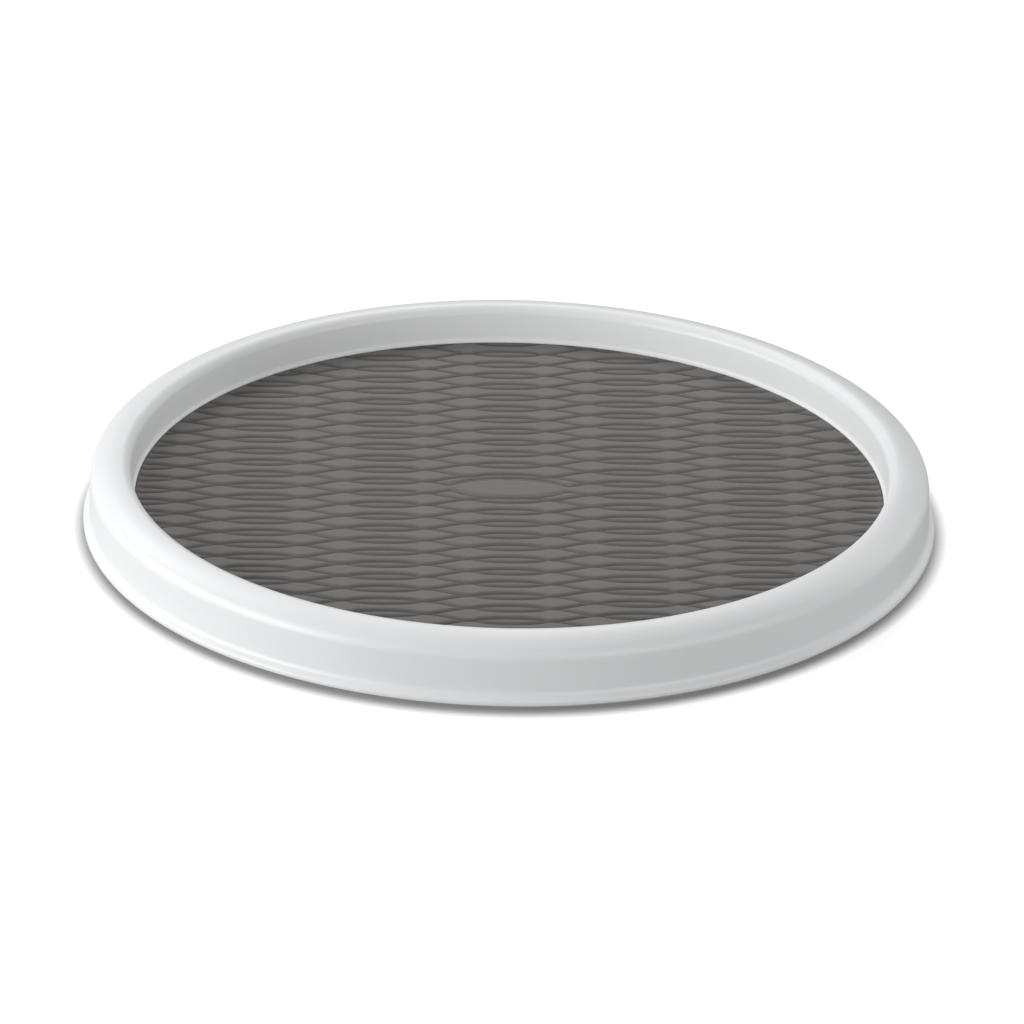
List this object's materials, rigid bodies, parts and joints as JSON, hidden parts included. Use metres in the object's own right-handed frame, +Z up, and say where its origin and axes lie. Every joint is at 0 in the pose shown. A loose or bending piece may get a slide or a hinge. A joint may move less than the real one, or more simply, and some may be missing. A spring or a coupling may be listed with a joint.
{
  "type": "lazy susan turntable",
  "caption": "Round kitchen turntable: rimmed moulded tray with a textured grip mat, spinning on a ball race over a low footed base.",
  "frame": {"origin": "on the axis of rotation, in the plane that the feet stand on", "axes": "+Z up along the axis of rotation; +X to the right of the pictured view, +Y away from it"},
  "size_m": [0.305, 0.305, 0.025],
  "materials": {
    "tray_plastic": "satin moulded, slightly cool white",
    "mat_rubber": "matt, embossed reed relief",
    "base_plastic": "matt moulded white",
    "foot_rubber": "matt dark",
    "bright_steel": "polished",
    "bearing_plastic": "waxy natural"
  },
  "bodies": {
    "base": {"base_plate": "base_plastic", "foot_1": "foot_rubber", "foot_2": "foot_rubber", "foot_3": "foot_rubber", "foot_4": "foot_rubber", "foot_5": "foot_rubber", "foot_6": "foot_rubber", "wear_washer": "bearing_plastic", "retaining_washer": "bright_steel"},
    "tray": {"tray": "tray_plastic", "grip_mat": "mat_rubber", "pivot_rivet": "bright_steel"},
    "cage": {"ball_cage": "bearing_plastic"},
    "ball_01_body": {"ball_01": "bright_steel"},
    "ball_02_body": {"ball_02": "bright_steel"},
    "ball_03_body": {"ball_03": "bright_steel"},
    "ball_04_body": {"ball_04": "bright_steel"},
    "ball_05_body": {"ball_05": "bright_steel"},
    "ball_06_body": {"ball_06": "bright_steel"},
    "ball_07_body": {"ball_07": "bright_steel"},
    "ball_08_body": {"ball_08": "bright_steel"},
    "ball_09_body": {"ball_09": "bright_steel"},
    "ball_10_body": {"ball_10": "bright_steel"},
    "ball_11_body": {"ball_11": "bright_steel"},
    "ball_12_body": {"ball_12": "bright_steel"},
    "ball_13_body": {"ball_13": "bright_steel"},
    "ball_14_body": {"ball_14": "bright_steel"},
    "ball_15_body": {"ball_15": "bright_steel"},
    "ball_16_body": {"ball_16": "bright_steel"},
    "ball_17_body": {"ball_17": "bright_steel"},
    "ball_18_body": {"ball_18": "bright_steel"}
  },
  "joints": [
    {"name": "tray_spin", "type": "hinge", "parent": "base", "child": "tray", "pos_m": [0, 0, 0], "axis": [0, 0, 1], "continuous": true},
    {"name": "cage_spin", "type": "hinge", "parent": "base", "child": "cage", "pos_m": [0, 0, 0], "axis": [0, 0, 1], "continuous": true},
    {"name": "ball_01_roll", "type": "hinge", "parent": "cage", "child": "ball_01_body", "pos_m": [0.077, 0, 0.00495], "axis": [1, 0, 0], "continuous": true},
    {"name": "ball_02_roll", "type": "hinge", "parent": "cage", "child": "ball_02_body", "pos_m": [0.07236, 0.02634, 0.00495], "axis": [0.9397, 0.342, 0], "continuous": true},
    {"name": "ball_03_roll", "type": "hinge", "parent": "cage", "child": "ball_03_body", "pos_m": [0.05899, 0.04949, 0.00495], "axis": [0.766, 0.6428, 0], "continuous": true},
    {"name": "ball_04_roll", "type": "hinge", "parent": "cage", "child": "ball_04_body", "pos_m": [0.0385, 0.06668, 0.00495], "axis": [0.5, 0.866, 0], "continuous": true},
    {"name": "ball_05_roll", "type": "hinge", "parent": "cage", "child": "ball_05_body", "pos_m": [0.01337, 0.07583, 0.00495], "axis": [0.1736, 0.9848, 0], "continuous": true},
    {"name": "ball_06_roll", "type": "hinge", "parent": "cage", "child": "ball_06_body", "pos_m": [-0.01337, 0.07583, 0.00495], "axis": [-0.1736, 0.9848, 0], "continuous": true},
    {"name": "ball_07_roll", "type": "hinge", "parent": "cage", "child": "ball_07_body", "pos_m": [-0.0385, 0.06668, 0.00495], "axis": [-0.5, 0.866, 0], "continuous": true},
    {"name": "ball_08_roll", "type": "hinge", "parent": "cage", "child": "ball_08_body", "pos_m": [-0.05899, 0.04949, 0.00495], "axis": [-0.766, 0.6428, 0], "continuous": true},
    {"name": "ball_09_roll", "type": "hinge", "parent": "cage", "child": "ball_09_body", "pos_m": [-0.07236, 0.02634, 0.00495], "axis": [-0.9397, 0.342, 0], "continuous": true},
    {"name": "ball_10_roll", "type": "hinge", "parent": "cage", "child": "ball_10_body", "pos_m": [-0.077, 0, 0.00495], "axis": [-1, 0, 0], "continuous": true},
    {"name": "ball_11_roll", "type": "hinge", "parent": "cage", "child": "ball_11_body", "pos_m": [-0.07236, -0.02634, 0.00495], "axis": [-0.9397, -0.342, 0], "continuous": true},
    {"name": "ball_12_roll", "type": "hinge", "parent": "cage", "child": "ball_12_body", "pos_m": [-0.05899, -0.04949, 0.00495], "axis": [-0.766, -0.6428, 0], "continuous": true},
    {"name": "ball_13_roll", "type": "hinge", "parent": "cage", "child": "ball_13_body", "pos_m": [-0.0385, -0.06668, 0.00495], "axis": [-0.5, -0.866, 0], "continuous": true},
    {"name": "ball_14_roll", "type": "hinge", "parent": "cage", "child": "ball_14_body", "pos_m": [-0.01337, -0.07583, 0.00495], "axis": [-0.1736, -0.9848, 0], "continuous": true},
    {"name": "ball_15_roll", "type": "hinge", "parent": "cage", "child": "ball_15_body", "pos_m": [0.01337, -0.07583, 0.00495], "axis": [0.1736, -0.9848, 0], "continuous": true},
    {"name": "ball_16_roll", "type": "hinge", "parent": "cage", "child": "ball_16_body", "pos_m": [0.0385, -0.06668, 0.00495], "axis": [0.5, -0.866, 0], "continuous": true},
    {"name": "ball_17_roll", "type": "hinge", "parent": "cage", "child": "ball_17_body", "pos_m": [0.05899, -0.04949, 0.00495], "axis": [0.766, -0.6428, 0], "continuous": true},
    {"name": "ball_18_roll", "type": "hinge", "parent": "cage", "child": "ball_18_body", "pos_m": [0.07236, -0.02634, 0.00495], "axis": [0.9397, -0.342, 0], "continuous": true}
  ],
  "couplings": [
    {"joint": "cage_spin", "follows": "tray_spin", "ratio": 0.5},
    {"joint": "ball_01_roll", "follows": "tray_spin", "ratio": -16.177},
    {"joint": "ball_02_roll", "follows": "tray_spin", "ratio": -16.177},
    {"joint": "ball_03_roll", "follows": "tray_spin", "ratio": -16.177},
    {"joint": "ball_04_roll", "follows": "tray_spin", "ratio": -16.177},
    {"joint": "ball_05_roll", "follows": "tray_spin", "ratio": -16.177},
    {"joint": "ball_06_roll", "follows": "tray_spin", "ratio": -16.177},
    {"joint": "ball_07_roll", "follows": "tray_spin", "ratio": -16.177},
    {"joint": "ball_08_roll", "follows": "tray_spin", "ratio": -16.177},
    {"joint": "ball_09_roll", "follows": "tray_spin", "ratio": -16.177},
    {"joint": "ball_10_roll", "follows": "tray_spin", "ratio": -16.177},
    {"joint": "ball_11_roll", "follows": "tray_spin", "ratio": -16.177},
    {"joint": "ball_12_roll", "follows": "tray_spin", "ratio": -16.177},
    {"joint": "ball_13_roll", "follows": "tray_spin", "ratio": -16.177},
    {"joint": "ball_14_roll", "follows": "tray_spin", "ratio": -16.177},
    {"joint": "ball_15_roll", "follows": "tray_spin", "ratio": -16.177},
    {"joint": "ball_16_roll", "follows": "tray_spin", "ratio": -16.177},
    {"joint": "ball_17_roll", "follows": "tray_spin", "ratio": -16.177},
    {"joint": "ball_18_roll", "follows": "tray_spin", "ratio": -16.177}
  ]
}
